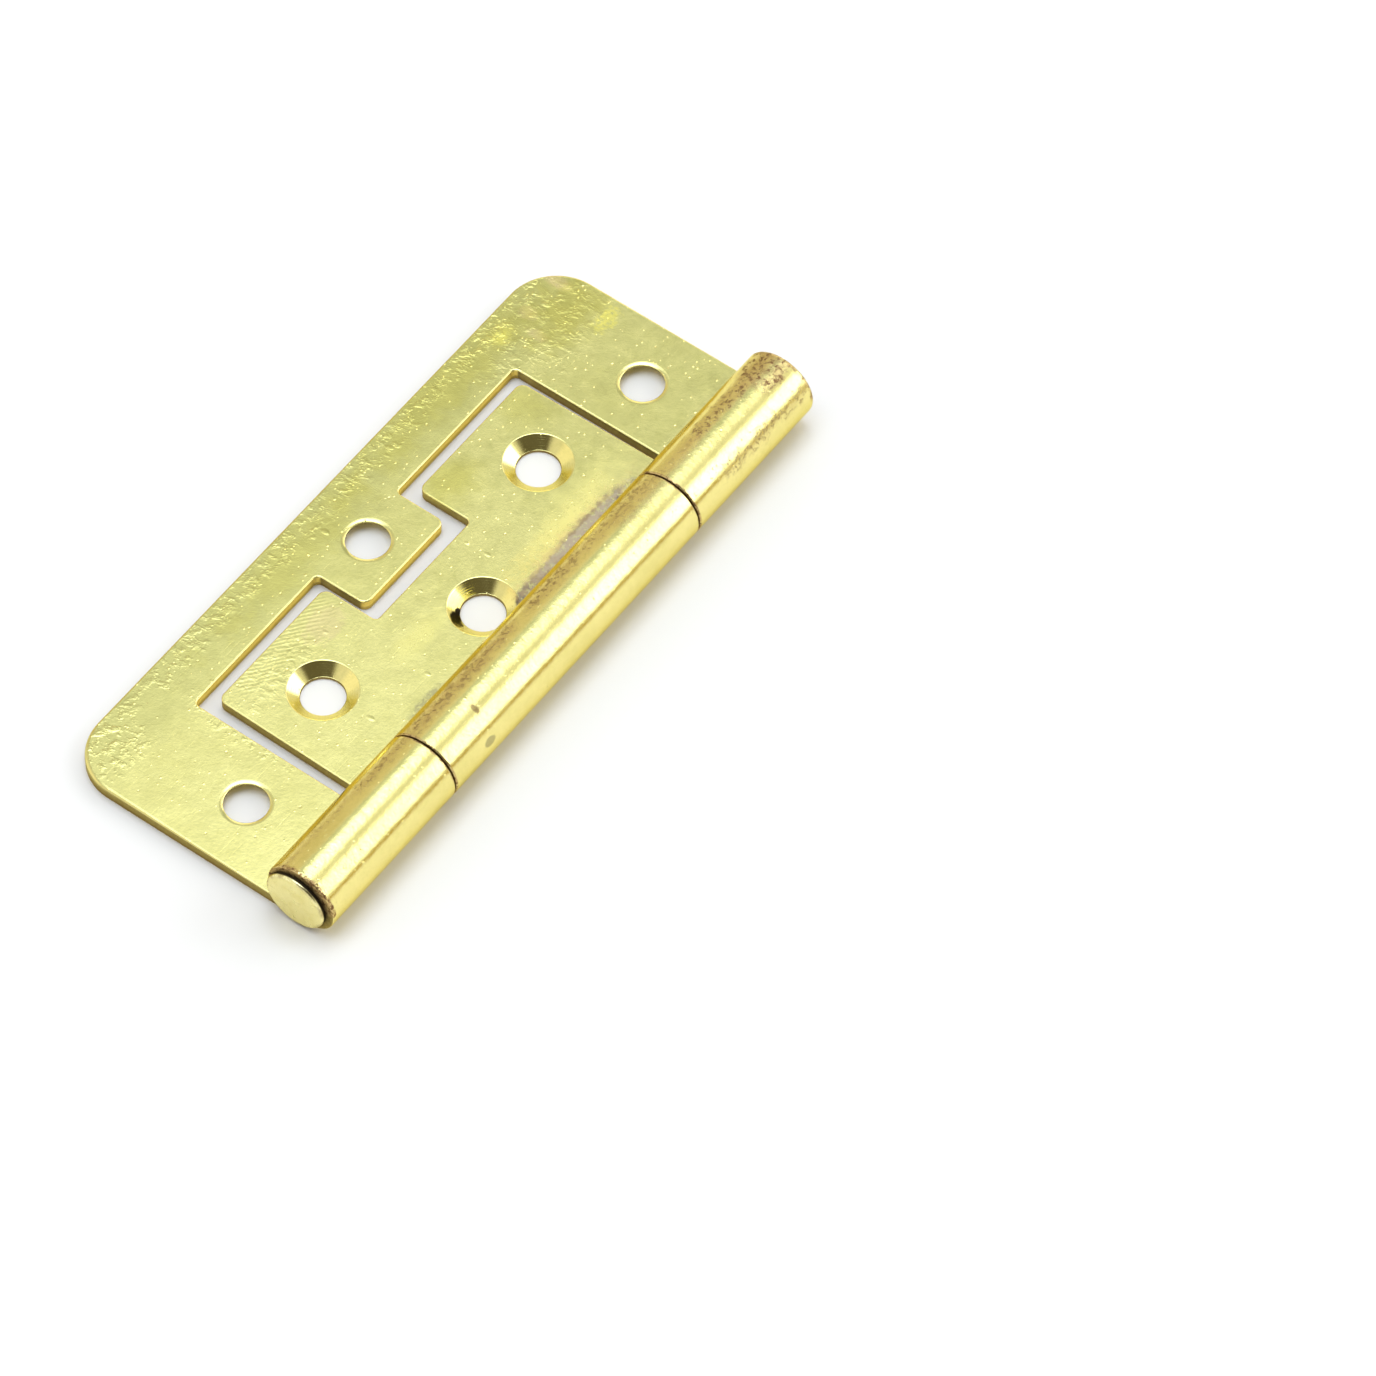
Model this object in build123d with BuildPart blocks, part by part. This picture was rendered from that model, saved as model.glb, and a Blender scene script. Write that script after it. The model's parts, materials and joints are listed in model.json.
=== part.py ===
"""Flush door hinge: two nesting leaves rolled round one headed pin.

Millimetres, +Z up. The closed hinge lies flat on z = 0 with the pin along X. The origin is
the centre of its footprint: the barrel runs along the -Y side and the leaves reach to +Y.
"""

from build123d import *
from math import asin, degrees
import os

os.makedirs("parts", exist_ok=True)

# Overall size and stock
hinge_length = 75.0
closed_width = 32.5
sheet = 1.3
barrel_radius = 3.85

# Barrel: one long centre knuckle between two end knuckles
centre_knuckle_length = 37.8
knuckle_gap = 0.2
seam_gap = 0.25

# Pin
pin_radius = 2.5
head_radius = 3.6
head_thickness = 0.6
head_edge_radius = 0.25
pin_tip_chamfer = 0.4

# Outer leaf. Distances called "reach" run from the pin axis, square to the barrel.
foot_reach = 3.8
window_half = 24.8
window_reach = 22.8
window_corner_radius = 0.6
leaf_corner_radius = 5.5
tab_half = 6.15
tab_tip_reach = 16.9
tab_corner_radius = 0.9

# Inner leaf. Its plate sits a little to one side of its knuckle and narrows towards its tip.
plate_shift = 0.35
shoulder_reach = 5.2
plate_root_half = 23.75
plate_tip_half = 23.5
plate_reach = 21.3
plate_corner_radius = 0.9
notch_half = 7.3
notch_reach = 15.0
notch_corner_radius = 0.5

# Screw holes, three in each leaf
screw_hole_radius = 2.2
screw_sink_radius = 3.5
screw_sink_angle = 104.0
outer_end_hole_half_spacing = 30.8
outer_end_hole_reach = 11.8
outer_middle_hole_reach = 21.45
inner_end_hole_half_spacing = 16.75
inner_end_hole_reach = 14.05
inner_middle_hole_reach = 7.9

# Worked out from the dimensions above
half_length = hinge_length / 2
pin_y = barrel_radius - closed_width / 2
pin_z = barrel_radius
leaf_reach = closed_width - barrel_radius
bore_radius = barrel_radius - sheet
centre_knuckle_half = centre_knuckle_length / 2
end_knuckle_start = centre_knuckle_half + knuckle_gap
end_knuckle_length = half_length - end_knuckle_start


def knuckle_section(start_x):
    """The rolled sheet, cut square to the pin at start_x.

    The sheet comes in flat along the bottom, wraps under the pin, up its outer side and over
    the top, and ends a seam gap above the face of its own leaf.
    """
    seam_drop = bore_radius - seam_gap
    seam_angle = -degrees(asin(seam_drop / barrel_radius))
    wrap_start = -90.0
    wrap = 360.0 - (seam_angle - wrap_start)
    across_pin = Plane(origin=(start_x, pin_y, pin_z), x_dir=(0, 1, 0), z_dir=(1, 0, 0))
    with BuildSketch(across_pin) as section:
        with BuildLine():
            outside = CenterArc((0, 0), barrel_radius, wrap_start, -wrap)
            inside = CenterArc((0, 0), bore_radius, wrap_start, -wrap)
            Line(outside @ 0, inside @ 0)
            Line(outside @ 1, inside @ 1)
        make_face()
    return section.sketch


def reach(distance):
    """The Y of a line that lies this far from the pin axis."""
    return pin_y + distance


# Outer leaf: a plate with a stepped window and a tab, on two end knuckles.
# Its screws enter from below, so that they are flush on the side that faces the inner leaf.
with BuildPart() as outer_leaf:
    with BuildSketch(Plane.XY) as outer_blank:
        with BuildLine():
            Polyline(
                (-half_length, reach(0)),
                (-half_length, reach(leaf_reach)),
                (half_length, reach(leaf_reach)),
                (half_length, reach(0)),
                close=True,
            )
        make_face()
        fillet(outer_blank.vertices().group_by(Axis.Y)[-1], leaf_corner_radius)
        with BuildLine():
            Polyline(
                (0, reach(0)),
                (end_knuckle_start, reach(0)),
                (end_knuckle_start, reach(foot_reach)),
                (window_half, reach(foot_reach)),
                (window_half, reach(window_reach)),
                (tab_half, reach(window_reach)),
                (tab_half, reach(tab_tip_reach)),
                (0, reach(tab_tip_reach)),
            )
            mirror(about=Plane.YZ)
        make_face(mode=Mode.SUBTRACT)
        window_corners = [v for v in outer_blank.vertices() if abs(v.Y - reach(window_reach)) < 0.01]
        fillet(window_corners, window_corner_radius)
        tab_corners = [v for v in outer_blank.vertices() if abs(v.Y - reach(tab_tip_reach)) < 0.01]
        fillet(tab_corners, tab_corner_radius)
    extrude(amount=sheet)
    extrude(knuckle_section(-half_length), amount=end_knuckle_length)
    extrude(knuckle_section(end_knuckle_start), amount=end_knuckle_length)
    underside_holes = [
        (-outer_end_hole_half_spacing, reach(outer_end_hole_reach)),
        (outer_end_hole_half_spacing, reach(outer_end_hole_reach)),
        (0, reach(outer_middle_hole_reach)),
    ]
    with Locations(*[Plane(origin=(x, y, 0), z_dir=(0, 0, -1)) for x, y in underside_holes]):
        CounterSinkHole(screw_hole_radius, screw_sink_radius, counter_sink_angle=screw_sink_angle)

outer_leaf.part.label = "outer_leaf"
export_step(outer_leaf.part, "parts/outer_leaf.step")


# Inner leaf: a plate that nests in the window, notched for the tab, on the centre knuckle.
# Its screws enter from above. A narrow neck lets it pass between the end knuckles.
with BuildPart() as inner_leaf:
    with BuildSketch(Plane(origin=(plate_shift, 0, 0))) as inner_blank:
        with BuildLine():
            Polyline(
                (0, reach(shoulder_reach)),
                (plate_root_half, reach(shoulder_reach)),
                (plate_tip_half, reach(plate_reach)),
                (notch_half, reach(plate_reach)),
                (notch_half, reach(notch_reach)),
                (0, reach(notch_reach)),
            )
            mirror(about=Plane.YZ)
        make_face()
        tip_corners = [v for v in inner_blank.vertices() if abs(v.Y - reach(plate_reach)) < 0.01]
        fillet(tip_corners, plate_corner_radius)
        notch_corners = [v for v in inner_blank.vertices() if abs(v.Y - reach(notch_reach)) < 0.01]
        fillet(notch_corners, notch_corner_radius)
    with BuildSketch(Plane.XY) as neck:
        with Locations((0, reach(shoulder_reach / 2))):
            Rectangle(centre_knuckle_length, shoulder_reach)
    extrude(amount=sheet)
    extrude(knuckle_section(-centre_knuckle_half), amount=centre_knuckle_length)
    topside_holes = [
        (plate_shift - inner_end_hole_half_spacing, reach(inner_end_hole_reach)),
        (plate_shift + inner_end_hole_half_spacing, reach(inner_end_hole_reach)),
        (plate_shift, reach(inner_middle_hole_reach)),
    ]
    with Locations(*[(x, y, sheet) for x, y in topside_holes]):
        CounterSinkHole(screw_hole_radius, screw_sink_radius, counter_sink_angle=screw_sink_angle)

inner_leaf.part.label = "inner_leaf"
export_step(inner_leaf.part, "parts/inner_leaf.step")


# Pin: a thin flat head at the -X end, and swelled ends that grip the two end knuckles.
with BuildPart() as hinge_pin:
    along_pin = Plane(origin=(0, pin_y, pin_z), x_dir=(1, 0, 0), z_dir=(0, -1, 0))
    with BuildSketch(along_pin) as pin_half_section:
        with BuildLine():
            Polyline(
                (-half_length - head_thickness, 0),
                (-half_length - head_thickness, head_radius),
                (-half_length, head_radius),
                (-half_length, bore_radius),
                (-end_knuckle_start, bore_radius),
                (-end_knuckle_start, pin_radius),
                (end_knuckle_start, pin_radius),
                (end_knuckle_start, bore_radius),
                (half_length - pin_tip_chamfer, bore_radius),
                (half_length, bore_radius - pin_tip_chamfer),
                (half_length, 0),
                close=True,
            )
        make_face()
        head_rim = pin_half_section.vertices().group_by(Axis.Y)[-1]
        fillet(head_rim.sort_by(Axis.X)[0], head_edge_radius)
    revolve(axis=Axis((0, pin_y, pin_z), (1, 0, 0)))

hinge_pin.part.label = "hinge_pin"
export_step(hinge_pin.part, "parts/hinge_pin.step")
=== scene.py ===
"""Looks of the flush door hinge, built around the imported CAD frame.

Both leaves are cut as flat blanks with rolled-over edges, then wound round the pin where their
knuckles are, as the real sheet is. Lengths are in millimetres until a mesh is made.
"""

import json
import math

import bpy
import numpy as np
from mathutils import Matrix, Vector
from mathutils.geometry import delaunay_2d_cdt


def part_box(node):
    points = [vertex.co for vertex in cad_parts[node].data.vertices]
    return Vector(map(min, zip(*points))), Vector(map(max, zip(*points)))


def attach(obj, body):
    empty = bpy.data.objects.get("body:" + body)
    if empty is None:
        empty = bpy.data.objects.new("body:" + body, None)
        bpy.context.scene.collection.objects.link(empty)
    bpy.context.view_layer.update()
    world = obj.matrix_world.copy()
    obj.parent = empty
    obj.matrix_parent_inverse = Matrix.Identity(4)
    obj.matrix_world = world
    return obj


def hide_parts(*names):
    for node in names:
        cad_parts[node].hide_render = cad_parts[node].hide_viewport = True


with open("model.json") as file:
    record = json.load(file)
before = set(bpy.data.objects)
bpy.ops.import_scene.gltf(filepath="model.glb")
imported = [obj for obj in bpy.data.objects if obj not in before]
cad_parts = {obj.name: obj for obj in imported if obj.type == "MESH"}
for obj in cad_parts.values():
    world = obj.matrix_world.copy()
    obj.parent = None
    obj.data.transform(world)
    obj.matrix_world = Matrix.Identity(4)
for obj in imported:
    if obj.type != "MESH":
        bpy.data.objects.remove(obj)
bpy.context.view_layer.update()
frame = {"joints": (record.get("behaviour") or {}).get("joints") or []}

MM = 0.001

# ---------------------------------------------------------------- sizes
# the overall ones come from the frame, and the others are those of the CAD model
_, leaf_high = [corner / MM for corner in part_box("outer_leaf")]
pin_low, pin_high = [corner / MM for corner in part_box("hinge_pin")]
_, pin_y, pin_z = [value / MM for value in frame["joints"][0]["pos_m"]]

HALF_LENGTH = leaf_high.x
LEAF_REACH = leaf_high.y - pin_y
BARREL_R = leaf_high.z / 2
SHEET = 1.3
BORE_R = BARREL_R - SHEET
SEAM_GAP = 0.25
CENTRE_HALF = 18.9
END_START = 19.1

# outer leaf: reach is the distance from the pin axis, along the flat blank
FOOT_REACH = 3.8
WINDOW_HALF = 24.8
WINDOW_REACH = 22.8
WINDOW_R = 0.6
LEAF_R = 5.5
TAB_HALF = 6.15
TAB_REACH = 16.9
TAB_R = 0.9
# inner leaf
PLATE_SHIFT = 0.35
SHOULDER_REACH = 5.2
PLATE_ROOT_HALF = 23.75
PLATE_TIP_HALF = 23.5
PLATE_REACH = 21.3
PLATE_R = 0.9
NOTCH_HALF = 7.3
NOTCH_REACH = 15.0
NOTCH_R = 0.5
# screw holes
HOLE_R = 2.2
SINK_R = 3.5
SINK_ANGLE = 104.0
SINK_RIM = 0.05
CONE_STEPS = 14
OUTER_HOLES = [(-30.8, 11.8), (30.8, 11.8), (0.0, 21.45)]
INNER_HOLES = [(PLATE_SHIFT - 16.75, 14.05), (PLATE_SHIFT + 16.75, 14.05), (PLATE_SHIFT, 7.9)]
# pin: the head is trimmed and moved off the axis, which bares a dark crescent of its seat
PIN_R = 2.5
HEAD_TRIM = 0.30
HEAD_R = pin_high.z - pin_z - HEAD_TRIM
HEAD_EDGE_R = 0.25
HEAD_DROP = 0.44
HEAD_DROP_ANGLE = math.radians(-40)
TIP_CHAMFER = 0.4

# the roll: how far the sheet goes round the pin, and how finely it is cut
WRAP = 2 * math.pi - math.pi / 2 + math.asin((BORE_R - SEAM_GAP) / BARREL_R)
ROLL_LENGTH = BARREL_R * WRAP
ROLL_STEPS = 96
# rings in each quarter turn of a rolled-over edge
ARC_STEPS = 5


# ---------------------------------------------------------------- flat blanks
def rounded(corners, steps_per_turn=48):
    """A closed outline through (x, reach, radius) corners, each one turned into an arc."""
    out = []
    count = len(corners)
    for i, (x, s, radius) in enumerate(corners):
        here = Vector((x, s))
        before = (Vector(corners[i - 1][:2]) - here).normalized()
        after = (Vector(corners[(i + 1) % count][:2]) - here).normalized()
        opening = before.angle(after)
        back = radius / math.tan(opening / 2)
        centre = here + (before + after).normalized() * (radius / math.sin(opening / 2))
        start = here + before * back - centre
        turn = math.pi - opening
        if start.x * before.y - start.y * before.x > 0:
            turn = -turn
        steps = max(3, round(steps_per_turn * abs(turn) / (2 * math.pi) * (1 + radius / 4)))
        for k in range(steps + 1):
            a = turn * k / steps
            out.append(
                (
                    centre.x + start.x * math.cos(a) - start.y * math.sin(a),
                    centre.y + start.x * math.sin(a) + start.y * math.cos(a),
                )
            )
    return out


def split_at(outline, levels):
    """Adds a point wherever an edge of the outline crosses one of these reach levels."""
    out = []
    for i, (x0, s0) in enumerate(outline):
        x1, s1 = outline[(i + 1) % len(outline)]
        out.append((x0, s0))
        crossed = [v for v in levels if min(s0, s1) + 1e-4 < v < max(s0, s1) - 1e-4]
        if s1 < s0:
            crossed = crossed[::-1]
        for v in crossed:
            f = (v - s0) / (s1 - s0)
            out.append((x0 + f * (x1 - x0), v))
    return out


def circle(x, s, radius, count=72):
    """A hole's loop, clockwise, so that the sheet is always on the left."""
    angles = [-2 * math.pi * k / count for k in range(count)]
    return [(x + radius * math.cos(a), s + radius * math.sin(a)) for a in angles]


def inward(loop):
    """For each point of a loop, the shift that moves it 1 mm into the sheet."""
    p = np.array(loop)
    ahead = np.roll(p, -1, axis=0) - p
    ahead /= np.linalg.norm(ahead, axis=1)[:, None]
    left = np.stack([-ahead[:, 1], ahead[:, 0]], 1)
    before = np.roll(left, 1, axis=0)
    return (left + before) / (1 + (left * before).sum(1))[:, None]


def rolled_profile(bottom, top):
    """Rings of a punched edge from the underside up: (inset, height, slope angle).

    bottom and top are the roll-over's width and depth on that side.
    """
    rings = []
    for width, depth, is_top in ((*bottom, False), (*top, True)):
        for k in range(ARC_STEPS + 1):
            a = math.pi / 2 * (k if is_top else ARC_STEPS - k) / ARC_STEPS
            inset, drop = width * (1 - math.cos(a)), depth * (1 - math.sin(a))
            slope = math.atan2(width * math.sin(a), depth * math.cos(a))
            rings.append((inset, SHEET - drop, slope) if is_top else (inset, drop, -slope))
    return rings


def sunk_profile(mouth=(0.06, 0.06)):
    """A countersunk hole's rings from its narrow mouth up to its wide one, as in rolled_profile.

    mouth is the width and depth of the narrow mouth's rounding. The cone runs straight from 4 % to
    94 % of its width, and then turns over into the leaf's face.
    """
    cone_angle = math.radians(SINK_ANGLE / 2)
    spread = SINK_R - HOLE_R
    depth = spread / math.tan(cone_angle)
    land = SHEET - depth
    rings = rolled_profile(mouth, mouth)[: ARC_STEPS + 1]
    rings.append((0.0, land - 0.05, 0.0))
    rings.append((0.02, land - 0.01, cone_angle * 0.5))
    for k in range(CONE_STEPS + 1):
        f = 0.04 + 0.9 * k / CONE_STEPS
        rings.append((spread * f, land + depth * f, cone_angle))
    for k in range(1, ARC_STEPS + 1):
        f = k / ARC_STEPS
        a = cone_angle + (math.pi / 2 - cone_angle) * f
        inset = spread * 0.94 + (SINK_RIM + spread * 0.06) * f
        height = land + depth * (0.94 + 0.06 * (1 - (1 - f) ** 2))
        rings.append((inset, height, a))
    rings[-1] = (rings[-1][0], SHEET, math.pi / 2)
    return rings


def flipped(rings):
    """The same profile with its wide mouth on the underside."""
    return [(inset, SHEET - height, -angle) for inset, height, angle in reversed(rings)]


def wind(x, s, t):
    """Puts a point of the blank (x, reach, height) in space: flat, or round the pin if reach < 0."""
    if s >= 0:
        return Vector((x, pin_y + s, t)), 0.0
    a = -s / BARREL_R
    r = BARREL_R - t
    return Vector((x, pin_y - r * math.sin(a), pin_z - r * math.cos(a))), a


def cut_sheet(name, outline, strips, holes, hole_profile, edge_of):
    """Makes one leaf from a flat blank: its outline, strips (x from, x to) that are wound, and holes.

    hole_profile is every hole's rings, and edge_of gives the outline's roll-over at (x, reach).
    Each vertex is marked for the material: wall on a sheared edge, cross less than 1 where such an
    edge faces the pin, sink on a hole's cone, and radius from the middle of a hole.
    """
    levels = [-ROLL_LENGTH * (k / ROLL_STEPS) for k in range(1, ROLL_STEPS)] + [0.0]
    levels.sort()
    loops = [split_at(outline, levels)] + [circle(x, s, HOLE_R) for x, s in holes]
    shifts = [inward(loop) for loop in loops]
    points, normals, faces = [], [], []
    marks = {"wall": [], "cross": [], "sink": [], "radius": []}
    rims = {"bottom": [], "top": []}

    def profile_at(number, x, s):
        """The rings at a point of a loop. Loop 0 is the outline, and the others are the holes."""
        return hole_profile if number > 0 else rolled_profile(*edge_of(x, s))

    # the walls, ring by ring
    for number, (loop, shift) in enumerate(zip(loops, shifts)):
        size = len(loop)
        profiles = [profile_at(number, x, s) for x, s in loop]
        ring_count = len(profiles[0])
        first = len(points)
        for r in range(ring_count):
            for v, (x, s) in enumerate(loop):
                inset, height, angle = profiles[v][r]
                px, ps = x + shift[v][0] * inset, s + shift[v][1] * inset
                place, wound = wind(px, ps, height)
                out_x, out_s = -shift[v] / np.linalg.norm(shift[v])
                n = Vector((out_x * math.cos(angle), out_s * math.cos(angle), math.sin(angle)))
                n = Matrix.Rotation(-wound, 3, "X") @ n
                points.append(place)
                normals.append(n)
                level_share = abs(math.sin(angle))
                is_cone = number > 0 and 0.3 < level_share < 0.99
                marks["wall"].append(1.0 if level_share < 0.5 else 0.0)
                marks["cross"].append(1 - max(-out_s, 0) if number == 0 else 1.0)
                marks["sink"].append(1.0 if is_cone else 0.0)
                marks["radius"].append(HOLE_R + inset if number > 0 else 0.0)
        for r in range(ring_count - 1):
            low, high = first + r * size, first + (r + 1) * size
            for v in range(size):
                w = (v + 1) % size
                faces.append((low + v, low + w, high + w, high + v))
        rims["bottom"].append(range(first, first + size))
        rims["top"].append(range(first + (ring_count - 1) * size, first + ring_count * size))

    # the two faces, filled between the walls' rims, with an edge across each strip at every level
    for side, rim_ring in (("bottom", 0), ("top", -1)):
        flat, source, loop_of, edges = [], [], [], []
        for number, (loop, shift, ring) in enumerate(zip(loops, shifts, rims[side])):
            at = len(flat)
            for v, index in enumerate(ring):
                x, s = loop[v]
                inset = profile_at(number, x, s)[rim_ring][0]
                flat.append(Vector((x + shift[v][0] * inset, s + shift[v][1] * inset)))
                source.append(index)
                loop_of.append(number)
                edges.append((at + v, at + (v + 1) % len(loop)))
        for level in levels:
            for x_from, x_to in strips:
                on_level = [
                    (flat[k].x, k)
                    for k, (x, _) in enumerate(loops[0])
                    if abs(flat[k].y - level) < 1e-5 and x_from - 1e-3 <= x <= x_to + 1e-3
                ]
                on_level.sort()
                if len(on_level) >= 2:
                    edges.append((on_level[0][1], on_level[-1][1]))
        _, _, triangles, origins, *_ = delaunay_2d_cdt(flat, edges, [], 1, 1e-7)
        for triangle in triangles:
            corners = [origins[k][0] for k in triangle]
            met = {loop_of[corner] for corner in corners}
            # only the filling of a hole has all its corners on that hole's loop
            if len(met) == 1 and met != {0}:
                continue
            face = tuple(source[corner] for corner in corners)
            faces.append(face if side == "top" else face[::-1])
    return solid(name, points, faces, normals, marks)


def solid(name, points, faces, normals, marks):
    """An object from millimetre points, with these normals and vertex marks."""
    mesh = bpy.data.meshes.new(name)
    mesh.from_pydata([p * MM for p in points], [], faces)
    for polygon in mesh.polygons:
        polygon.use_smooth = True
    for key, values in marks.items():
        layer = mesh.attributes.new(key, "FLOAT", "POINT")
        layer.data.foreach_set("value", np.array(values, np.float32))
    mesh.normals_split_custom_set_from_vertices([n.normalized() for n in normals])
    obj = bpy.data.objects.new(name, mesh)
    bpy.context.scene.collection.objects.link(obj)
    return obj


# roll-over of the edges: (width, depth)
CRISP = (0.08, 0.08)
ROLL_END = (0.13, 0.13)
FAR_ROLL_END = (0.42, 0.42)
WINDOW_EDGE = (0.16, 0.14)
INNER_UNDERSIDE = (0.3, 0.2)
INNER_TOP = (0.14, 0.12)
# an outer edge out of the window, and what it gains towards the -X end
OUTER_TOP = (0.18, 0.14)
OUTER_TOP_GAIN = (0.24, 0.20)
GAIN_FROM = 31.0
GAIN_OVER = 5.0
# below this reach the edge belongs to the roll
ROLL_REACH = 0.4


def outer_edge(x, s):
    """Roll-over of the outer blank's outline: underside, then top."""
    if s < ROLL_REACH:
        return (FAR_ROLL_END if x > HALF_LENGTH - 1.0 else ROLL_END, CRISP)
    if abs(x) < WINDOW_HALF + 0.1 and s < WINDOW_REACH + 0.1:
        return (CRISP, WINDOW_EDGE)
    near_end = min(max((-x - GAIN_FROM) / GAIN_OVER, 0.0), 1.0)
    return (CRISP, tuple(base + gain * near_end for base, gain in zip(OUTER_TOP, OUTER_TOP_GAIN)))


def inner_edge(x, s):
    """Roll-over of the inner blank's outline: underside, then top."""
    return (ROLL_END, CRISP) if s < ROLL_REACH else (INNER_UNDERSIDE, INNER_TOP)


# (x, reach, corner radius). An outward corner's radius is more than its roll-over's width, so that
# the rings don't cross there.
outer_outline = rounded(
    [
        (-HALF_LENGTH, -ROLL_LENGTH, 0.15),
        (-END_START, -ROLL_LENGTH, 0.15),
        (-END_START, FOOT_REACH, 0.18),
        (-WINDOW_HALF, FOOT_REACH, 0.3),
        (-WINDOW_HALF, WINDOW_REACH, WINDOW_R),
        (-TAB_HALF, WINDOW_REACH, WINDOW_R),
        (-TAB_HALF, TAB_REACH, TAB_R),
        (TAB_HALF, TAB_REACH, TAB_R),
        (TAB_HALF, WINDOW_REACH, WINDOW_R),
        (WINDOW_HALF, WINDOW_REACH, WINDOW_R),
        (WINDOW_HALF, FOOT_REACH, 0.3),
        (END_START, FOOT_REACH, 0.18),
        (END_START, -ROLL_LENGTH, 0.15),
        (HALF_LENGTH, -ROLL_LENGTH, 0.45),
        (HALF_LENGTH, LEAF_REACH, LEAF_R),
        (-HALF_LENGTH, LEAF_REACH, LEAF_R),
    ]
)
inner_outline = rounded(
    [
        (-CENTRE_HALF, -ROLL_LENGTH, 0.15),
        (CENTRE_HALF, -ROLL_LENGTH, 0.15),
        (CENTRE_HALF, SHOULDER_REACH, 0.3),
        (PLATE_SHIFT + PLATE_ROOT_HALF, SHOULDER_REACH, 0.32),
        (PLATE_SHIFT + PLATE_TIP_HALF, PLATE_REACH, PLATE_R),
        (PLATE_SHIFT + NOTCH_HALF, PLATE_REACH, PLATE_R),
        (PLATE_SHIFT + NOTCH_HALF, NOTCH_REACH, NOTCH_R),
        (PLATE_SHIFT - NOTCH_HALF, NOTCH_REACH, NOTCH_R),
        (PLATE_SHIFT - NOTCH_HALF, PLATE_REACH, PLATE_R),
        (PLATE_SHIFT - PLATE_TIP_HALF, PLATE_REACH, PLATE_R),
        (PLATE_SHIFT - PLATE_ROOT_HALF, SHOULDER_REACH, 0.32),
        (-CENTRE_HALF, SHOULDER_REACH, 0.3),
    ]
)

outer = cut_sheet(
    "outer_leaf_sheet",
    outer_outline,
    [(-HALF_LENGTH, -END_START), (END_START, HALF_LENGTH)],
    OUTER_HOLES,
    flipped(sunk_profile(mouth=(0.48, 0.12))),
    outer_edge,
)
inner = cut_sheet(
    "inner_leaf_sheet",
    inner_outline,
    [(-CENTRE_HALF, CENTRE_HALF)],
    INNER_HOLES,
    sunk_profile(),
    inner_edge,
)


# ---------------------------------------------------------------- pin
def turned(name, profile, count=96):
    """A lathed solid through (x, radius, slope angle) points, round the pin axis but for the head."""
    points, normals, faces = [], [], []
    marks = {"wall": [], "cross": [], "sink": [], "radius": []}
    for x, radius, slope in profile:
        drop = HEAD_DROP if x < -HALF_LENGTH - 0.01 else 0.0
        for k in range(count):
            a = 2 * math.pi * k / count
            y = pin_y + drop * math.cos(HEAD_DROP_ANGLE) + radius * math.cos(a)
            z = pin_z + drop * math.sin(HEAD_DROP_ANGLE) + radius * math.sin(a)
            points.append(Vector((x, y, z)))
            across = math.cos(slope)
            normals.append(Vector((math.sin(slope), across * math.cos(a), across * math.sin(a))))
            for key in marks:
                marks[key].append(radius if key == "radius" else 0.0)
    for r in range(len(profile) - 1):
        for k in range(count):
            w = (k + 1) % count
            low, high = r * count, (r + 1) * count
            faces.append((low + k, low + w, high + w, high + k))
    faces.append(tuple(range(count))[::-1])
    faces.append(tuple(range((len(profile) - 1) * count, len(profile) * count)))
    return solid(name, points, faces, normals, marks)


def build_pin():
    """The pin, from the middle of the head's face to its far end."""
    left, right = pin_low.x, pin_high.x
    quarter = math.pi / 2
    grip = BORE_R - 0.02
    profile = [(left, HEAD_R * f, -quarter) for f in (0.02, 0.3, 0.6, 0.85)]
    for k in range(7):
        a = quarter * k / 6
        profile.append(
            (
                left + HEAD_EDGE_R * (1 - math.cos(a)),
                HEAD_R - HEAD_EDGE_R * (1 - math.sin(a)),
                a - quarter,
            )
        )
    back = -HALF_LENGTH - 0.02
    profile += [
        (back - 0.08, HEAD_R, 0.0),
        (back, HEAD_R - 0.08, quarter * 0.7),
        (back, BORE_R + 0.1, quarter),
        (back, grip, 0.0),
        (-END_START, grip, 0.0),
        (-END_START, PIN_R, 0.0),
        (END_START, PIN_R, 0.0),
        (END_START, grip, 0.0),
        (right - TIP_CHAMFER, grip, 0.0),
        (right - TIP_CHAMFER * 0.9, BORE_R - 0.06, quarter / 2),
        (right - 0.05, BORE_R - TIP_CHAMFER, quarter * 0.7),
        (right, BORE_R - TIP_CHAMFER - 0.1, quarter),
        (right, 0.05, quarter),
    ]
    return turned("hinge_pin_turned", profile)


pin = build_pin()

for piece, body, slot, node in (
    (outer, "outer", "outer_leaf_brass", "outer_leaf"),
    (inner, "inner", "inner_leaf_brass", "inner_leaf"),
    (pin, "outer", "pin_brass", "hinge_pin"),
):
    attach(piece, body)
    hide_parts(node)


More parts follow.
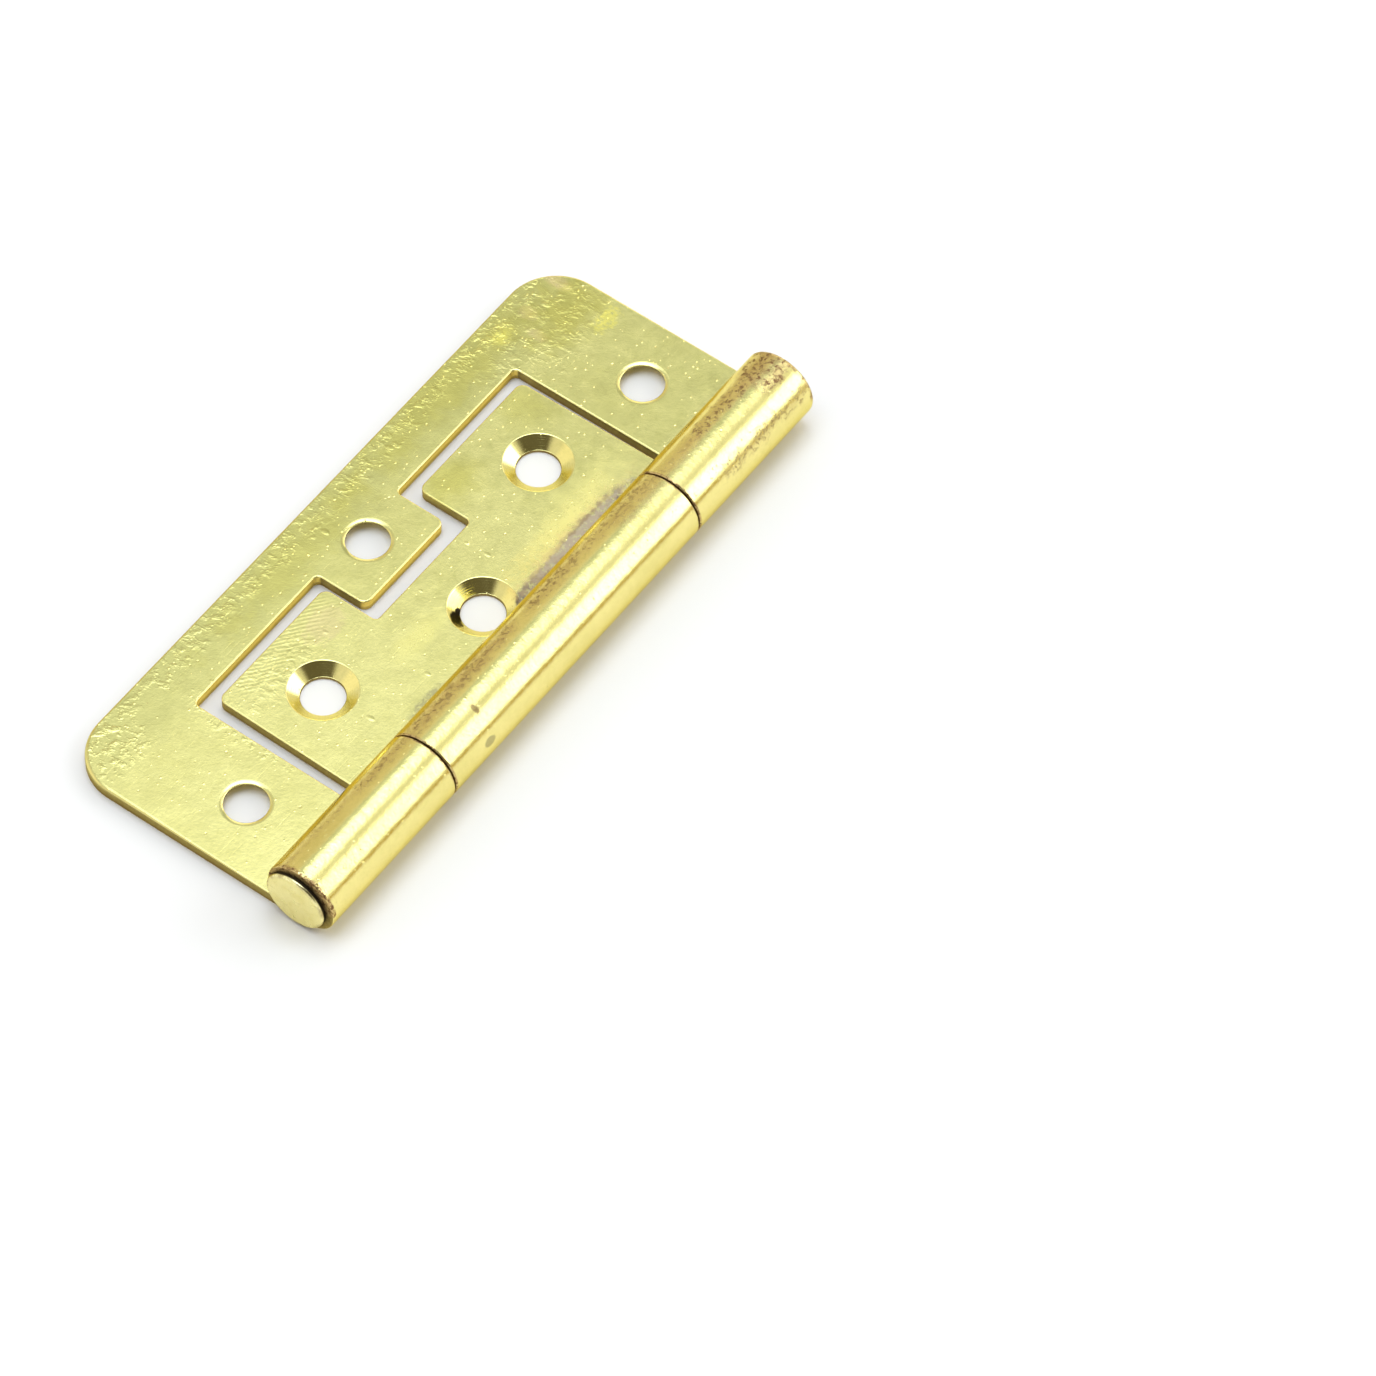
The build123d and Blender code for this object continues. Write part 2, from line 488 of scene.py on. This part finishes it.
# ---------------------------------------------------------------- brass
class Shader:
    """Short names for the nodes that the brass is built from. Lengths in it are millimetres."""

    def __init__(self, material):
        self.tree = material.node_tree
        self.principled = self.tree.nodes["Principled BSDF"]
        coordinates = self.tree.nodes.new("ShaderNodeTexCoord")
        self.place = self.vector("SCALE", coordinates.outputs["Object"], scale=1 / MM)
        split = self.tree.nodes.new("ShaderNodeSeparateXYZ")
        self.tree.links.new(self.place, split.inputs[0])
        self.x, self.y, self.z = split.outputs
        across = self.math("SUBTRACT", self.y, pin_y)
        above = self.math("SUBTRACT", self.z, pin_z)
        self.turn = self.times(self.math("ARCTAN2", above, across), 180 / math.pi)
        squares = self.add(self.times(across, across), self.times(above, above))
        self.on_barrel = self.ramp(self.math("SQRT", squares), BARREL_R + 0.2, BARREL_R + 0.1)

    def put(self, socket, value):
        """Links a socket or sets a plain value."""
        if isinstance(value, bpy.types.NodeSocket):
            self.tree.links.new(value, socket)
        else:
            socket.default_value = value

    def vector(self, operation, a, b=None, scale=None):
        node = self.tree.nodes.new("ShaderNodeVectorMath")
        node.operation = operation
        self.put(node.inputs[0], a)
        if b is not None:
            self.put(node.inputs[1], b)
        if scale is not None:
            self.put(node.inputs[3], scale)
        return node.outputs[1] if operation in ("LENGTH", "DISTANCE") else node.outputs[0]

    def math(self, operation, a, b=0.0, c=0.0):
        node = self.tree.nodes.new("ShaderNodeMath")
        node.operation = operation
        for socket, value in zip(node.inputs, (a, b, c)):
            self.put(socket, value)
        return node.outputs[0]

    def add(self, *terms):
        total = terms[0]
        for term in terms[1:]:
            total = self.math("ADD", total, term)
        return total

    def times(self, *terms):
        total = terms[0]
        for term in terms[1:]:
            total = self.math("MULTIPLY", total, term)
        return total

    def ramp(self, value, low, high, from_value=0.0, to_value=1.0):
        """A smooth step from low to high."""
        node = self.tree.nodes.new("ShaderNodeMapRange")
        node.interpolation_type = "SMOOTHSTEP"
        for socket, given in zip(node.inputs, (value, low, high, from_value, to_value)):
            self.put(socket, given)
        return node.outputs[0]

    def noise(self, per_mm, detail=2.0, roughness=0.5, stretch=None, seed=0.0, distortion=0.0):
        """Noise from 0 to 1 with this many features to the millimetre."""
        where = self.place if stretch is None else self.vector("MULTIPLY", self.place, stretch)
        if seed:
            where = self.vector("ADD", where, (seed, seed * 1.7, seed * 2.3))
        node = self.tree.nodes.new("ShaderNodeTexNoise")
        self.put(node.inputs["Vector"], where)
        node.inputs["Scale"].default_value = per_mm
        node.inputs["Detail"].default_value = detail
        node.inputs["Roughness"].default_value = roughness
        node.inputs["Distortion"].default_value = distortion
        return node.outputs[0]

    def pits(self, per_mm, radius, share, seed=0.0, stretch=None):
        """Round spots, 1 in the middle: about this share of the cells has one."""
        where = self.vector("ADD", self.place, (seed, seed * 1.3, seed * 0.7))
        if stretch is not None:
            where = self.vector("MULTIPLY", where, stretch)
        node = self.tree.nodes.new("ShaderNodeTexVoronoi")
        self.put(node.inputs["Vector"], where)
        node.inputs["Scale"].default_value = per_mm
        colour = self.tree.nodes.new("ShaderNodeSeparateColor")
        self.tree.links.new(node.outputs["Color"], colour.inputs[0])
        chosen = self.math("LESS_THAN", colour.outputs[0], share)
        size = self.math("MULTIPLY_ADD", colour.outputs[1], radius * per_mm * 0.8, radius * per_mm * 0.5)
        away = self.math("DIVIDE", node.outputs["Distance"], size)
        return self.times(self.ramp(away, 1.0, 0.3), chosen)

    def spot(self, centre, radii, breakup=0.5, per_mm=1.2, seed=0.0, soft=0.35):
        """A ragged patch round a point: 1 inside, 0 outside. A radius may be very large."""
        away = self.vector("SUBTRACT", self.place, centre)
        away = self.vector("LENGTH", self.vector("DIVIDE", away, radii))
        ragged = self.math("MULTIPLY_ADD", self.noise(per_mm, 4, 0.6, seed=seed), 2 * breakup, -breakup)
        return self.ramp(self.add(away, ragged), 1 + soft, 1 - soft)

    def band(self, value, low, high, soft):
        """1 between low and high, and 0 outside them."""
        rise = self.ramp(value, low - soft, low + soft)
        return self.times(rise, self.ramp(value, high + soft, high - soft))

    def barrel_patch(self, along, turn, soft=(1.0, 7.0), drift=(1.5, 10.0), per_mm=0.7, seed=0.0):
        """A ragged patch of the barrel: its x from and to, and its angle, 0 at +Y and 90 on top."""
        ragged = self.math("MULTIPLY_ADD", self.noise(per_mm, 4, 0.65, seed=seed), 2, -1)
        x = self.math("MULTIPLY_ADD", ragged, drift[0], self.x)
        angle = self.math("MULTIPLY_ADD", ragged, drift[1], self.turn)
        return self.times(self.band(x, *along, soft[0]), self.band(angle, *turn, soft[1]), self.on_barrel)

    def attribute(self, name):
        node = self.tree.nodes.new("ShaderNodeAttribute")
        node.attribute_name = name
        return node.outputs["Fac"]

    def mix(self, factor, a, b):
        node = self.tree.nodes.new("ShaderNodeMix")
        node.data_type = "RGBA"
        self.put(node.inputs[0], factor)
        self.put(node.inputs[6], a)
        self.put(node.inputs[7], b)
        return node.outputs[2]

    def finish(self, colour, roughness, height):
        """Sets the surface: bare metal, with this height in millimetres as bump."""
        bump = self.tree.nodes.new("ShaderNodeBump")
        bump.inputs["Strength"].default_value = 1.0
        bump.inputs["Distance"].default_value = MM
        self.put(bump.inputs["Height"], height)
        self.put(self.principled.inputs["Base Color"], colour)
        self.put(self.principled.inputs["Roughness"], roughness)
        self.principled.inputs["Metallic"].default_value = 1.0
        self.principled.inputs["Specular Tint"].default_value = GRAZING_TINT
        self.tree.links.new(bump.outputs[0], self.principled.inputs["Normal"])


# base colours
LEMON = (0.93, 0.81, 0.31, 1)
OLIVE = (0.78, 0.68, 0.23, 1)
DULL = (0.70, 0.62, 0.22, 1)
OLIVE_GOLD = (0.74, 0.63, 0.15, 1)
GOLD = (0.95, 0.80, 0.13, 1)
GOLD_EDGE = (0.94, 0.69, 0.14, 1)
FILM = (0.58, 0.40, 0.17, 1)
BROWN = (0.22, 0.12, 0.05, 1)
PINK_BROWN = (0.66, 0.46, 0.27, 1)
GREY_VIOLET = (0.13, 0.11, 0.10, 1)
WORN_GREY = (0.44, 0.42, 0.40, 1)
OLIVE_GREY = (0.42, 0.36, 0.16, 1)
# the dark brown of the cut edges is partly the rough shear and partly painted shade
CUT_EDGE_AND_SHADE = (0.27, 0.19, 0.06, 1)
BLACK = (0.015, 0.012, 0.01, 1)
# near black: old grease, and painted shade on the knuckle's end face behind the pin head
GREASE_AND_GAP_SHADE = (0.06, 0.035, 0.015, 1)
# the pin behind its head: dark with old grease and painted shade of the gaps it shows through
BEHIND_HEAD = (0.05, 0.035, 0.02, 1)
PALE = (0.97, 0.89, 0.45, 1)
HALO = (0.90, 0.68, 0.18, 1)
GRAZING_TINT = (0.95, 0.87, 0.50, 1)

# roughness of the plate: least, and what the noise adds
SMOOTH = 0.13
SMOOTH_SPREAD = 0.12

# relief, in millimetres
WAVES = 0.030
LUMPS = 0.008
GRAIN = 0.0046
UNEVEN_ROLL = 0.022
DENTS = 0.012
NICKS = -0.014
CHIPS = 0.014
POINTS = -0.02
SCRATCHES = -0.0012
SHEAR = 0.05
TOOL_RINGS = 0.0012

# radians to the millimetre: the two sets of tool rings in a sink, and the ripple along x and y
RING_RATES = (38.0, 67.0)
RIPPLE_ALONG = 9.0
RIPPLE_ACROSS = 11.5


def brass(name, stains, film, hammered, rippled=(), grease_and_gap_shade=None):
    """Brass plate on sheet.

    stains are (colour, share, how flecked, spot), and one that isn't flecked leaves the plate as
    smooth as it was. film is (film share, speckle share, barrel patch), and the last argument is
    a spot, dark with old oil and painted shade.
    hammered and rippled are (height in mm, spot) where the plate is lumpy or finely waved.
    """
    material = bpy.data.materials.new(name)
    material.use_nodes = True
    s = Shader(material)

    # broad lemon to olive clouds, finer mottling, flecks and pepper
    clouds = s.ramp(s.noise(0.11, 4, 0.6, seed=3), 0.35, 0.7)
    mottle = s.ramp(s.noise(0.8, 5, 0.68, seed=9), 0.42, 0.72)
    colour = s.mix(s.add(s.times(clouds, 0.45), s.times(mottle, 0.35)), LEMON, OLIVE)
    flecks = s.ramp(s.noise(3.2, 3, 0.6, seed=14), 0.60, 0.72)
    colour = s.mix(s.times(flecks, 0.25), colour, OLIVE_GOLD)
    pepper = s.ramp(s.noise(3.8, 4, 0.75, seed=17), 0.42, 0.66)
    colour = s.mix(s.times(pepper, 0.30), colour, OLIVE)
    roughness = s.math("MULTIPLY_ADD", s.noise(0.7, 4, 0.6, seed=21), SMOOTH_SPREAD, SMOOTH)

    # sheared edges, darker in their lower half where they tear and where painted contact shadow lies, and
    # machined sinks
    wall = s.attribute("wall")
    shear = s.noise(4.0, 3, 0.6, stretch=(1, 1, 0.15), seed=41)
    # sheared edges facing the pin are golden; the rest are dark brown, the rough cut darkened further as
    # painted shade
    cut = s.mix(s.ramp(s.attribute("cross"), 0.5, 0.9), GOLD_EDGE, CUT_EDGE_AND_SHADE)
    colour = s.mix(s.times(wall, s.math("MULTIPLY_ADD", shear, 0.3, 0.7)), colour, cut)
    # the lower half of each sheared edge is darkened: a torn zone, and painted contact shadow under the leaf
    torn_and_contact_shade = s.ramp(s.add(s.z, s.times(s.noise(1.2, 3, 0.6, seed=43), 0.5)), 0.85, 0.6)
    colour = s.mix(s.times(wall, torn_and_contact_shade, 0.45), colour, BROWN)
    sink = s.attribute("sink")
    roughness = s.add(roughness, s.times(wall, 0.2), s.times(sink, -0.06))
    rings = s.add(*[s.math("SINE", s.times(s.attribute("radius"), rate)) for rate in RING_RATES])

    # stains
    fine = s.ramp(s.noise(2.0, 4, 0.7, seed=25), 0.38, 0.52)
    for tint, share, flecked, spot in stains:
        mask = s.times(s.spot(**spot), share, s.math("MULTIPLY_ADD", fine, flecked, 1 - flecked))
        colour = s.mix(mask, colour, tint)
        if flecked:
            roughness = s.add(roughness, s.times(mask, 0.12))

    # tarnish: a brown film with darker speckles, then a spot of old grease and painted shade, and small
    # brown pits
    veil = s.ramp(s.noise(1.3, 5, 0.7, seed=29), 0.36, 0.60)
    speckle = s.ramp(s.noise(1.9, 6, 0.78, seed=31), 0.50, 0.57)
    for film_share, speckle_share, patch in film:
        zone = s.barrel_patch(**patch)
        colour = s.mix(s.times(zone, s.math("MULTIPLY_ADD", veil, 0.55, 0.45), film_share), colour, FILM)
        mask = s.times(zone, speckle, speckle_share)
        colour = s.mix(mask, colour, BROWN)
        roughness = s.add(roughness, s.times(zone, 0.05), s.times(mask, 0.22))
    if grease_and_gap_shade:
        mask = s.spot(**grease_and_gap_shade)
        colour = s.mix(mask, colour, GREASE_AND_GAP_SHADE)
        roughness = s.add(roughness, s.times(mask, 0.3))
    points = s.pits(0.8, 0.09, 0.07, seed=5)
    colour = s.mix(s.times(points, 0.75), colour, BROWN)

    # relief
    streaks = s.noise(1.0, 2, 0.5, stretch=(0.25, 5.0, 5.0), seed=79)
    height = s.add(
        s.times(s.noise(0.10, 2, 0.5, seed=51), WAVES),
        s.times(s.noise(0.45, 3, 0.5, seed=55), LUMPS),
        s.times(s.noise(2.6, 4, 0.7, seed=59), GRAIN),
        s.times(s.noise(0.9, 4, 0.65, seed=61), s.on_barrel, UNEVEN_ROLL),
        s.times(s.pits(0.55, 0.30, 0.14, seed=71, stretch=(1.0, 0.55, 1.0)), DENTS),
        s.times(s.pits(1.5, 0.13, 0.20, seed=75, stretch=(0.8, 1.0, 1.0)), NICKS),
        s.times(s.pits(2.2, 0.10, 0.28, seed=77, stretch=(0.7, 1.0, 1.0)), CHIPS),
        s.times(points, POINTS),
        s.ramp(streaks, 0.66, 0.74, 0.0, SCRATCHES),
        s.times(wall, shear, SHEAR),
        s.times(sink, rings, TOOL_RINGS),
    )
    blows = s.ramp(s.noise(1.3, 3, 0.6, stretch=(1.0, 0.7, 1.0), seed=83), 0.46, 0.66)
    for depth, spot in hammered:
        height = s.add(height, s.times(s.spot(**spot), blows, depth))
    diagonal = s.add(s.times(s.x, RIPPLE_ALONG), s.times(s.y, RIPPLE_ACROSS))
    crests = s.math("SINE", s.add(diagonal, s.times(s.noise(0.5, 3, 0.5, seed=63), 7.0)))
    for depth, spot in rippled:
        height = s.add(height, s.times(s.spot(**spot), crests, depth))
    s.finish(colour, roughness, height)
    return material


def on_top(x, y, along, across, **more):
    """A spot on the leaf's upper face."""
    return dict(centre=(x, y, SHEET), radii=(along, across, 0.5), **more)


# the brown line all round where two knuckles meet
KNUCKLE_END = dict(turn=(-179, 179), soft=(0.08, 1), drift=(0.1, 0))

outer_brass = brass(
    "outer_leaf_brass_plate",
    stains=[
        (DULL, 0.80, 0.0, on_top(4.0, 15.2, 60.0, 4.6, breakup=0.5, per_mm=0.25, seed=0.6, soft=0.6)),
        (PINK_BROWN, 0.60, 0.3, on_top(35.8, 13.4, 0.8, 1.3, seed=1.1)),
        (PINK_BROWN, 0.55, 0.3, on_top(31.0, 13.4, 0.8, 1.0, seed=2.1)),
        (PINK_BROWN, 0.45, 0.3, on_top(29.4, 11.0, 0.6, 1.1, seed=3.1)),
        (OLIVE_GOLD, 0.75, 0.0, on_top(33.5, 10.4, 4.5, 2.6, breakup=1.1, per_mm=0.55, seed=4.3, soft=0.7)),
        (OLIVE_GOLD, 0.60, 0.0, on_top(20.0, 14.2, 13.0, 2.0, breakup=1.2, per_mm=0.45, seed=4.7, soft=0.7)),
        (OLIVE_GOLD, 0.45, 0.0, on_top(-6.0, 13.6, 11.0, 2.2, breakup=1.3, per_mm=0.45, seed=4.9, soft=0.7)),
        (GOLD, 0.55, 0.9, on_top(34.9, 6.8, 1.7, 0.9, breakup=1.0, per_mm=1.6, seed=4.1)),
        (GOLD, 0.45, 0.8, on_top(27.2, 13.8, 1.1, 0.8, breakup=0.9, seed=5.1, soft=0.6)),
    ],
    # the knuckle's end face behind the pin head: old grease and painted shade of the gap round the head
    grease_and_gap_shade=dict(centre=(-37.7, pin_y, pin_z), radii=(0.26, 5.0, 5.0), breakup=0.12, per_mm=2.0, soft=0.1),
    film=[
        (0.75, 1.00, dict(along=(33.0, 40.0), turn=(44, 112), drift=(3.0, 24.0), seed=6.1)),
        (0.50, 0.90, dict(along=(24.5, 34.0), turn=(60, 84), drift=(3.0, 22.0), seed=7.1)),
        (0.35, 0.30, dict(along=(19.0, 25.0), turn=(66, 90), seed=7.6)),
        (0.25, 0.70, dict(along=(24.0, 40.0), turn=(138, 156), drift=(2.0, 20.0), seed=7.8)),
        (0.50, 0.65, dict(along=(-27.0, -19.0), turn=(52, 72), seed=8.1)),
        (0.30, 0.30, dict(along=(-38.0, -27.0), turn=(50, 66), seed=8.4)),
        (0.90, 0.80, dict(along=(37.0, 40.0), turn=(-60, 176), soft=(0.2, 4), drift=(0.7, 4), seed=8.8)),
        (1.00, 1.00, dict(along=(-40.0, -37.15), turn=(10, 178), soft=(0.12, 4), drift=(0.4, 4), seed=9.1)),
        (1.00, 1.00, dict(along=(18.0, 19.28), seed=9.4, **KNUCKLE_END)),
        (1.00, 1.00, dict(along=(-19.28, -18.0), seed=9.6, **KNUCKLE_END)),
    ],
    hammered=[
        (0.014, on_top(-33.6, 13.6, 3.4, 3.0, breakup=0.7, seed=1.3)),
        (0.010, on_top(0.0, 15.1, 38.0, 1.4, breakup=1.2, per_mm=0.5, seed=1.5)),
        (0.008, on_top(31.0, 12.0, 8.0, 5.0, breakup=0.8, seed=1.9)),
        (0.008, on_top(-24.5, 4.0, 1.6, 7.0, breakup=0.8, seed=2.2)),
        (0.040, dict(centre=(-37.5, pin_y - 1.5, 7.0), radii=(0.5, 3.0, 2.0), breakup=0.4, seed=2.3)),
    ],
)
inner_brass = brass(
    "inner_leaf_brass_plate",
    stains=[
        (HALO, 0.45, 0.6, on_top(10.5, -5.2, 8.0, 1.4, breakup=1.1, per_mm=0.7, seed=2.7, soft=0.7)),
        (OLIVE, 0.60, 0.3, on_top(16.0, -4.0, 6.0, 1.5, breakup=1.0, per_mm=0.6, seed=2.9, soft=0.7)),
        (GREY_VIOLET, 1.0, 0.6, on_top(13.5, -6.8, 6.6, 1.0, breakup=0.8, per_mm=1.1, seed=1.7)),
        (GREY_VIOLET, 1.0, 0.6, on_top(5.5, -6.8, 4.2, 0.75, breakup=0.7, per_mm=1.1, seed=2.2)),
        (WORN_GREY, 0.55, 0.6, on_top(12.5, -6.6, 6.5, 0.45, breakup=1.2, per_mm=2.2, seed=2.4)),
        (FILM, 0.45, 0.8, on_top(11.5, -6.5, 9.5, 1.2, breakup=1.0, per_mm=1.2, seed=1.8)),
        (GREY_VIOLET, 0.5, 0.6, on_top(-11.5, -7.0, 2.5, 0.6, breakup=0.6, seed=1.9)),
        (PINK_BROWN, 0.35, 0.2, on_top(-10.4, 6.2, 2.2, 1.6, breakup=0.9, seed=3.7)),
        (OLIVE, 0.8, 0.3, on_top(-6.0, -1.8, 3.2, 1.2, breakup=0.8, seed=4.7, soft=0.7)),
        (OLIVE_GOLD, 0.7, 0.0, on_top(10.0, 7.0, 3.0, 2.0, breakup=0.8, per_mm=0.5, seed=5.7, soft=0.8)),
        (OLIVE_GOLD, 0.5, 0.0, on_top(22.0, 7.0, 2.2, 2.6, breakup=0.7, per_mm=0.5, seed=5.9, soft=0.8)),
        (GREASE_AND_GAP_SHADE, 0.95, 0.3, dict(centre=(-2.2, -3.5, 0.9), radii=(1.0, 0.7, 0.5), breakup=0.3, per_mm=1.8,
                                 seed=6.5, soft=0.15)),
        (BLACK, 1.0, 0.0, dict(centre=(-1.85, -3.05, 0.8), radii=(1.0, 0.75, 0.55), breakup=0.3, per_mm=1.6,
                               seed=6.7, soft=0.2)),
        (BLACK, 1.0, 0.0, dict(centre=(-1.0, -2.7, 0.5), radii=(0.55, 0.45, 0.4), breakup=0.2, per_mm=2.0,
                               seed=6.9, soft=0.2)),
        (BROWN, 0.8, 0.2, dict(centre=(-12.9, pin_y - 1.4, 7.4), radii=(0.30, 0.5, 0.5), breakup=0.6,
                               per_mm=3.0, seed=7.7)),
        (OLIVE_GREY, 0.8, 0.0, dict(centre=(-13.6, pin_y - 3.75, 4.9), radii=(0.75, 0.6, 0.5), breakup=0.2,
                                     per_mm=2.0, seed=8.7, soft=0.15)),
    ],
    film=[
        (0.60, 0.65, dict(along=(-18.9, -3.0), turn=(50, 76), seed=9.7)),
        (0.50, 0.70, dict(along=(-1.0, 7.0), turn=(50, 74), seed=10.7)),
        (0.42, 0.55, dict(along=(7.0, 19.0), turn=(48, 74), seed=11.7)),
        (0.35, 0.35, dict(along=(12.0, 19.0), turn=(74, 96), seed=12.7)),
        (1.00, 1.00, dict(along=(18.75, 20.0), seed=9.4, **KNUCKLE_END)),
        (1.00, 1.00, dict(along=(-20.0, -18.75), seed=9.6, **KNUCKLE_END)),
    ],
    hammered=[(0.006, on_top(-17.0, 6.5, 5.0, 3.0, breakup=0.8, seed=1.4))],
    rippled=[(0.0010, on_top(-14.5, 7.7, 7.5, 1.8, breakup=0.7, per_mm=0.7, seed=2.6))],
)
outer.data.materials.append(outer_brass)
inner.data.materials.append(inner_brass)


def pin_brass(name):
    """The head's plate is browned only at its rim. What lies behind it is dark with old oil and painted
    shade.
    """
    material = bpy.data.materials.new(name)
    material.use_nodes = True
    s = Shader(material)
    behind = s.ramp(s.x, pin_low.x + 0.20, pin_low.x + 0.32)
    mottle = s.ramp(s.noise(0.8, 4, 0.6, seed=2), 0.4, 0.7)
    colour = s.mix(s.times(mottle, 0.4), PALE, OLIVE)
    near_rim = s.ramp(s.attribute("radius"), HEAD_R - 0.5, HEAD_R)
    rim = s.times(near_rim, s.ramp(s.noise(0.9, 4, 0.7, seed=7), 0.4, 0.6))
    colour = s.mix(s.times(rim, 0.55), colour, BROWN)
    # behind the head's face the pin is darkened: old grease, and painted shade in the gap round the head and
    # between the knuckles
    colour = s.mix(behind, colour, BEHIND_HEAD)
    roughness = s.math("MULTIPLY_ADD", s.noise(0.9, 4, 0.6, seed=11), 0.12, 0.2)
    roughness = s.add(roughness, s.times(behind, 0.4))
    height = s.add(
        s.times(s.noise(0.35, 2, 0.5, seed=15), 0.02),
        s.times(s.noise(2.0, 3, 0.5, seed=19), 0.003),
        s.times(s.pits(0.9, 0.15, 0.2, seed=23), -0.01),
    )
    s.finish(colour, roughness, height)
    return material


pin.data.materials.append(pin_brass("pin_brass_plate"))

# ---------------------------------------------------------------- floor, light, camera
scene = bpy.context.scene
scene.view_settings.view_transform = "Standard"

# in metres
FLOOR_HALF = 1.5
FLOOR_Z = -0.00002

FLOOR_WHITE = (0.90, 0.85, 0.79, 1)
FLOOR_ROUGHNESS = 0.6
floor_mesh = bpy.data.meshes.new("floor")
corners = [(-1, -1), (1, -1), (1, 1), (-1, 1)]
floor_mesh.from_pydata([(x * FLOOR_HALF, y * FLOOR_HALF, FLOOR_Z) for x, y in corners], [], [(0, 1, 2, 3)])
floor = bpy.data.objects.new("floor", floor_mesh)
scene.collection.objects.link(floor)
floor_paint = bpy.data.materials.new("floor_white")
floor_paint.use_nodes = True
floor_shader = floor_paint.node_tree.nodes["Principled BSDF"]
floor_shader.inputs["Base Color"].default_value = FLOOR_WHITE
floor_shader.inputs["Roughness"].default_value = FLOOR_ROUGHNESS
floor_mesh.materials.append(floor_paint)

world = bpy.data.worlds.new("studio")
scene.world = world
world.use_nodes = True


def studio(tree):
    """Paints the plain room, its dark patch and the soft boxes on the world, by direction.

    tilt is the angle round the pin axis, 0 level towards +Y, 90 straight up and 180 towards -Y.
    x is how far the direction leans towards +X, from -1 to 1.
    """

    def put(socket, value):
        if isinstance(value, bpy.types.NodeSocket):
            tree.links.new(value, socket)
        else:
            socket.default_value = value

    def math_node(operation, a, b):
        made = tree.nodes.new("ShaderNodeMath")
        made.operation = operation
        put(made.inputs[0], a)
        put(made.inputs[1], b)
        return made.outputs[0]

    def step(value, low, high):
        made = tree.nodes.new("ShaderNodeMapRange")
        made.interpolation_type = "SMOOTHSTEP"
        tree.links.new(value, made.inputs[0])
        made.inputs[1].default_value = low
        made.inputs[2].default_value = high
        return made.outputs[0]

    def blend(factor, a, b):
        made = tree.nodes.new("ShaderNodeMix")
        made.data_type = "RGBA"
        put(made.inputs[0], factor)
        put(made.inputs[6], a)
        put(made.inputs[7], b)
        return made.outputs[2]

    def band(value, edges):
        rise_low, rise_high, fall_low, fall_high = edges
        return math_node("MULTIPLY", step(value, rise_low, rise_high), step(value, fall_high, fall_low))

    def cap(towards, full_angle, gone_angle):
        made = tree.nodes.new("ShaderNodeVectorMath")
        made.operation = "DOT_PRODUCT"
        put(made.inputs[0], direction)
        put(made.inputs[1], Vector(towards).normalized())
        gone, full = math.cos(math.radians(gone_angle)), math.cos(math.radians(full_angle))
        return step(made.outputs["Value"], gone, full)

    direction = tree.nodes.new("ShaderNodeTexCoord").outputs["Generated"]
    parts = tree.nodes.new("ShaderNodeSeparateXYZ")
    put(parts.inputs[0], direction)
    x, y, z = parts.outputs
    tilt = math_node("MULTIPLY", math_node("ARCTAN2", z, y), 180 / math.pi)
    colour = ROOM_LIGHT
    for towards, full_angle, gone_angle, tint in ROOM_PATCHES:
        colour = blend(cap(towards, full_angle, gone_angle), colour, tint)
    for tilt_edges, x_edges, tint in SOFT_BOXES:
        shape = math_node("MULTIPLY", band(tilt, tilt_edges), band(x, x_edges))
        colour = blend(shape, colour, tint)
    background = tree.nodes["Background"]
    put(background.inputs["Color"], colour)
    background.inputs["Strength"].default_value = 1.0


ROOM_LIGHT = (0.84, 0.85, 0.84, 1)
# (direction, full within this angle of it, gone beyond this one, light)
ROOM_PATCHES = [
    ((-0.41, -0.50, 0.765), 30, 46, (0.13, 0.12, 0.09, 1)),
]
# (tilt: rise from, to, fall from, to), (x: the same), light. A later one covers an earlier one.
SOFT_BOXES = [
    ((5, 20, 100, 110), (0.60, 0.68, 0.97, 0.98), (1.7, 1.65, 1.6, 1)),
    ((0, 12, 40, 52), (-0.80, -0.60, -0.20, 0.0), (1.10, 1.08, 1.00, 1)),
    ((-40, -20, 46, 60), (0.15, 0.30, 0.54, 0.64), (0.72, 0.65, 0.49, 1)),
    ((53, 61, 72, 80), (-0.5, -0.3, 0.90, 0.95), (0.48, 0.54, 0.53, 1)),
    ((60, 78, 92, 108), (-0.5, -0.3, 0.375, 0.485), (3.6, 4.1, 4.8, 1)),
    ((116, 132, 161, 169), (0.385, 0.475, 0.9, 0.95), (3.3, 3.6, 4.0, 1)),
    ((168, 172, 190, 200), (0.2, 0.3, 0.7, 0.8), (0.50, 0.33, 0.03, 1)),
]
studio(world.node_tree)

# the photograph's view, with the second hinge left out of its right half
CAMERA_AT = Vector((-359.20, -291.77, 634.66)) * MM
CAMERA_TOWARD = Vector((5.133, -25.157, 0.0)) * MM
CAMERA_ROLL = math.radians(0.516)
CAMERA_LENS = 216.08
camera_data = bpy.data.cameras.new("camera")
camera_data.lens = CAMERA_LENS
camera_data.sensor_width = 36.0
camera_data.clip_start = 0.01
camera_data.clip_end = 20.0
camera = bpy.data.objects.new("camera", camera_data)
scene.collection.objects.link(camera)
camera.location = CAMERA_AT
aim = (CAMERA_TOWARD - CAMERA_AT).to_track_quat("-Z", "Y")
camera.rotation_mode = "QUATERNION"
camera.rotation_quaternion = aim @ Matrix.Rotation(CAMERA_ROLL, 3, "Z").to_quaternion()
scene.camera = camera
